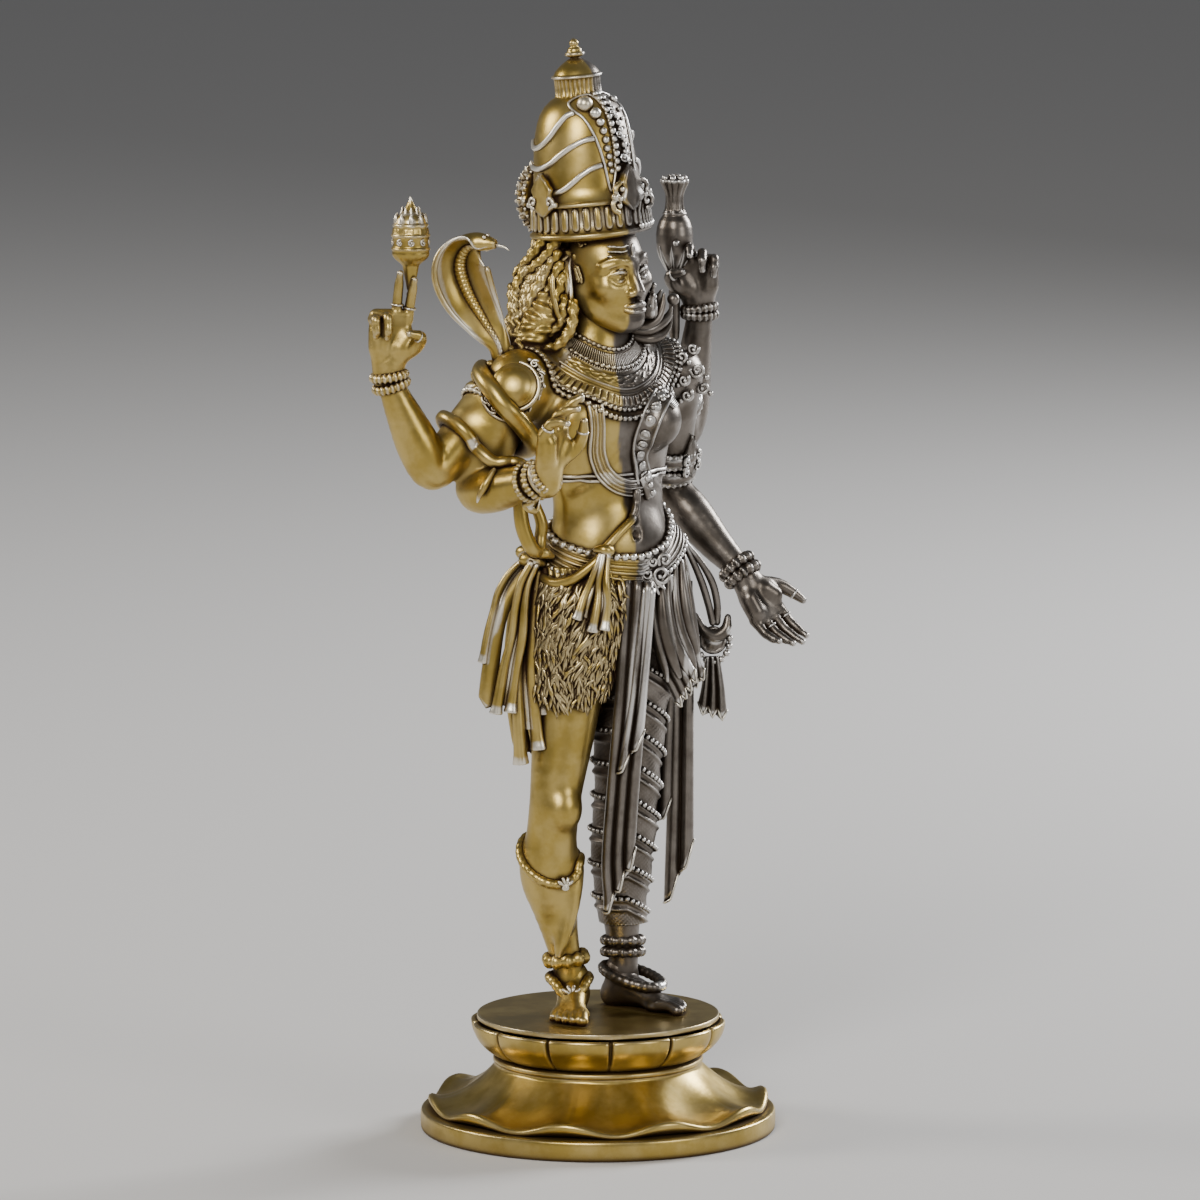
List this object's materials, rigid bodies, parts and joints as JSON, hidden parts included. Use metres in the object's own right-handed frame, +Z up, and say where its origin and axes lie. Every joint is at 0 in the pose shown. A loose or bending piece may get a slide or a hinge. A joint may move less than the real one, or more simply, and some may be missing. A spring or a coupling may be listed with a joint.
{
  "type": "ardhanarishvara statue",
  "caption": "Small cast brass murti of Ardhanarishvara, half gilt and half silvered, with four arms and a tall crown, standing on a lotus pedestal and a round base disc.",
  "frame": {"origin": "centre of the underside of the round base disc", "axes": "+Z up; the figure faces -Y; its gilt right half is on -X and its silvered left half on +X"},
  "size_m": [0.1297, 0.0974, 0.2997],
  "materials": {
    "gilt_brass": "worn satin gilding with brown patina in the hollows",
    "two_tone_brass": "gilt on the figure's right half, dark silvered on its left half, worn bright on raised edges"
  },
  "bodies": {
    "root": {"base_disc": "gilt_brass", "lotus_pedestal": "gilt_brass", "foot_plate": "gilt_brass", "figure": "two_tone_brass"}
  },
  "joints": []
}
